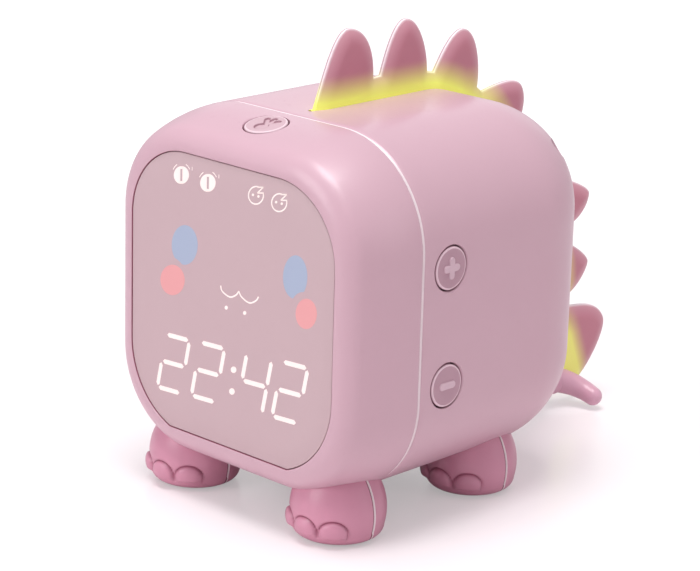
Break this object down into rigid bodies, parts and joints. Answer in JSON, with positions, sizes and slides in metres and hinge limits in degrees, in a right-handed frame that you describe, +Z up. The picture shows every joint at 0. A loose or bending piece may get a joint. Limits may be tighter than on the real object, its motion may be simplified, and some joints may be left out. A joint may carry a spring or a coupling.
{
  "type": "bedside alarm clock with night light",
  "caption": "Rounded child's bedside alarm clock shaped like a small animal, with a digital display in its front, push buttons, stubby feet, a curled tail and a glowing crest along its back.",
  "frame": {"origin": "on the table surface, under the centre of the whole object's box", "axes": "+Z up, -Y towards the display face, +X towards the side with the plus and minus buttons"},
  "size_m": [0.0958, 0.1578, 0.1266],
  "materials": {
    "shell": "satin moulded plastic, dusty pink",
    "foot": "satin moulded plastic, deeper pink",
    "window": "thin tinted window, soft sheen",
    "film": "matt diffusing film",
    "mask": "black, light-tight",
    "light_guide": "milky, lit from behind",
    "crest": "translucent, glows from its root",
    "circuit_board": "solder mask, green",
    "white_board": "white solder mask",
    "led": "clear resin over phosphor",
    "component": "moulded black",
    "can": "sleeved can",
    "steel": "zinc plated",
    "dark_plastic": "moulded",
    "cell_wrap": "shrink sleeve",
    "pad": "soft, translucent grey",
    "wire": "insulation",
    "ribbon": "flat cable"
  },
  "bodies": {
    "casing": {"front_shell": "shell", "display_window": "window", "face_film": "film", "segment_mask": "mask", "segment_bars": "light_guide", "display_board": "circuit_board", "display_leds": "led", "rear_shell": "shell", "crest": "crest", "tail_fin": "crest", "tail": "shell", "front_right_foot": "foot", "front_left_foot": "foot", "rear_right_foot": "foot", "rear_left_foot": "foot", "front_right_heel": "foot", "front_left_heel": "foot", "rear_right_heel": "foot", "rear_left_heel": "foot", "foot_pads": "pad", "tact_switches": "steel", "top_switch_board": "circuit_board", "right_switch_board": "circuit_board", "left_switch_board": "circuit_board", "main_board": "circuit_board", "main_board_chips": "component", "capacitors": "can", "crest_light_board": "white_board", "crest_leds": "led", "tail_light_board": "white_board", "speaker_frame": "dark_plastic", "speaker_magnet": "steel", "speaker_cone": "component", "battery_cell": "cell_wrap", "battery_cradle": "dark_plastic", "usb_inlet": "steel", "usb_board": "circuit_board", "shell_screws": "steel", "board_screws": "steel", "battery_wires": "wire", "speaker_wires": "wire", "display_ribbon": "ribbon"},
    "snooze_key": {"snooze_button": "shell", "snooze_plunger": "dark_plastic"},
    "plus_key": {"plus_button": "shell", "plus_plunger": "dark_plastic"},
    "minus_key": {"minus_button": "shell", "minus_plunger": "dark_plastic"},
    "mode_key": {"mode_button": "shell", "mode_plunger": "dark_plastic"},
    "set_key": {"set_button": "shell", "set_plunger": "dark_plastic"}
  },
  "joints": [
    {"name": "snooze_press", "type": "slide", "parent": "casing", "child": "snooze_key", "axis": [0, 0.1972, -0.9804], "range_m": [0, 0.0006], "stiffness_N_per_m": 2000},
    {"name": "plus_press", "type": "slide", "parent": "casing", "child": "plus_key", "axis": [-1, 0, 0], "range_m": [0, 0.0006], "stiffness_N_per_m": 2000},
    {"name": "minus_press", "type": "slide", "parent": "casing", "child": "minus_key", "axis": [-1, 0, 0], "range_m": [0, 0.0006], "stiffness_N_per_m": 2000},
    {"name": "mode_press", "type": "slide", "parent": "casing", "child": "mode_key", "axis": [1, 0, 0], "range_m": [0, 0.0006], "stiffness_N_per_m": 2000},
    {"name": "set_press", "type": "slide", "parent": "casing", "child": "set_key", "axis": [1, 0, 0], "range_m": [0, 0.0006], "stiffness_N_per_m": 2000}
  ]
}
